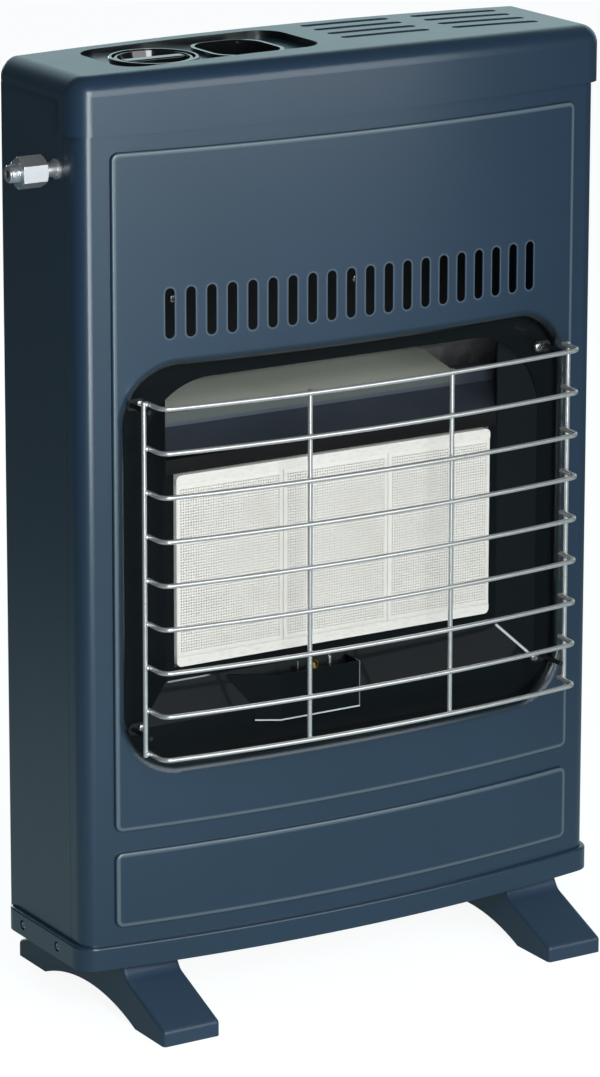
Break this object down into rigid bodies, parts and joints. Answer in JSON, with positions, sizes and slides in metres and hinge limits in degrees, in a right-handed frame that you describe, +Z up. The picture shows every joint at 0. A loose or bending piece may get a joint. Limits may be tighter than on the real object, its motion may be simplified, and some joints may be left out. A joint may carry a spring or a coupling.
{
  "type": "portable gas cabinet heater",
  "caption": "Slim upright radiant gas heater on two feet, with ceramic plaques behind a bowed wire guard, a louvred top lid, a press-and-turn knob, an igniter button and a side gas inlet.",
  "frame": {"origin": "on the floor under the middle of the overall box, cabinet and gas inlet together", "axes": "+Z up, the bowed front and its guard face -Y, the gas inlet stands out towards -X"},
  "size_m": [0.494, 0.227, 0.72],
  "materials": {
    "cabinet_enamel": "semi-gloss dark blue-green enamel",
    "foot_plastic": "satin dark moulding",
    "zinc_sheet": "dull zinc-coated sheet",
    "firebox_steel": "heat-resistant dark slate finish",
    "shelf_steel": "dull pale grey sheet",
    "black_enamel": "semi-gloss black heat-resistant enamel",
    "control_plastic": "glossy black moulding",
    "plated_wire": "bright nickel plating",
    "plaque_ceramic": "matt white fired ceramic",
    "screw_steel": "plain bright steel",
    "inlet_metal": "bright zinc plate",
    "gas_brass": "turned brass",
    "pipe_metal": "drawn satin tube",
    "cast_aluminium": "die-cast"
  },
  "bodies": {
    "cabinet": {"back_panel": "zinc_sheet", "back_panel_screws": "screw_steel", "base_plinth": "cabinet_enamel", "burner_housing": "zinc_sheet", "ceramic_plaque_left": "plaque_ceramic", "ceramic_plaque_middle": "plaque_ceramic", "ceramic_plaque_right": "plaque_ceramic", "electrode_ceramic": "plaque_ceramic", "electrode_rod": "screw_steel", "feed_pipe": "pipe_metal", "firebox_tray": "black_enamel", "foot_screws": "screw_steel", "front_panel": "cabinet_enamel", "gas_injectors": "gas_brass", "gas_manifold": "pipe_metal", "gas_tap": "cast_aluminium", "guard_lugs": "plated_wire", "guard_screws": "screw_steel", "guard_side_bars": "plated_wire", "guard_uprights": "plated_wire", "guard_wires": "plated_wire", "heat_deflector_shelf": "shelf_steel", "igniter_body": "control_plastic", "igniter_cup": "control_plastic", "igniter_nut": "control_plastic", "igniter_spring": "screw_steel", "inlet_fitting": "inlet_metal", "inlet_locknut": "inlet_metal", "inlet_pipe": "pipe_metal", "knob_bezel": "control_plastic", "knob_spring": "screw_steel", "left_foot": "foot_plastic", "left_side_panel": "cabinet_enamel", "lid_screws": "screw_steel", "lower_heat_shield": "zinc_sheet", "manifold_straps": "zinc_sheet", "pilot_burner": "gas_brass", "pilot_hood": "black_enamel", "pilot_pipe": "pipe_metal", "pilot_plate": "black_enamel", "pipe_nuts": "gas_brass", "plaque_seals": "plaque_ceramic", "plinth_screws": "screw_steel", "right_foot": "foot_plastic", "right_side_panel": "cabinet_enamel", "shield_screws": "screw_steel", "tap_bonnet": "gas_brass", "thermocouple_probe": "screw_steel", "top_lid": "cabinet_enamel", "upper_heat_shield": "firebox_steel", "upper_reflector": "firebox_steel", "valve_bracket": "zinc_sheet", "venturi_left": "pipe_metal", "venturi_middle": "pipe_metal", "venturi_right": "pipe_metal"},
    "plunger": {"spring_washer": "screw_steel"},
    "knob": {"control_knob": "control_plastic", "tap_spindle": "screw_steel"},
    "igniter_push": {"igniter_button": "control_plastic"}
  },
  "joints": [
    {"name": "knob_press", "type": "slide", "parent": "cabinet", "child": "plunger", "axis": [0, 0, -1], "range_m": [0, 0.004], "stiffness_N_per_m": 2000, "springref_m": -0.003, "deforming": ["knob_spring"]},
    {"name": "knob_turn", "type": "hinge", "parent": "plunger", "child": "knob", "pos_m": [-0.114, 0.005, 0.702], "axis": [0, 0, 1], "range_deg": [0, 210]},
    {"name": "igniter_press", "type": "slide", "parent": "cabinet", "child": "igniter_push", "axis": [0, 0, -1], "range_m": [0, 0.006], "stiffness_N_per_m": 1500, "springref_m": -0.003, "deforming": ["igniter_spring"]}
  ]
}
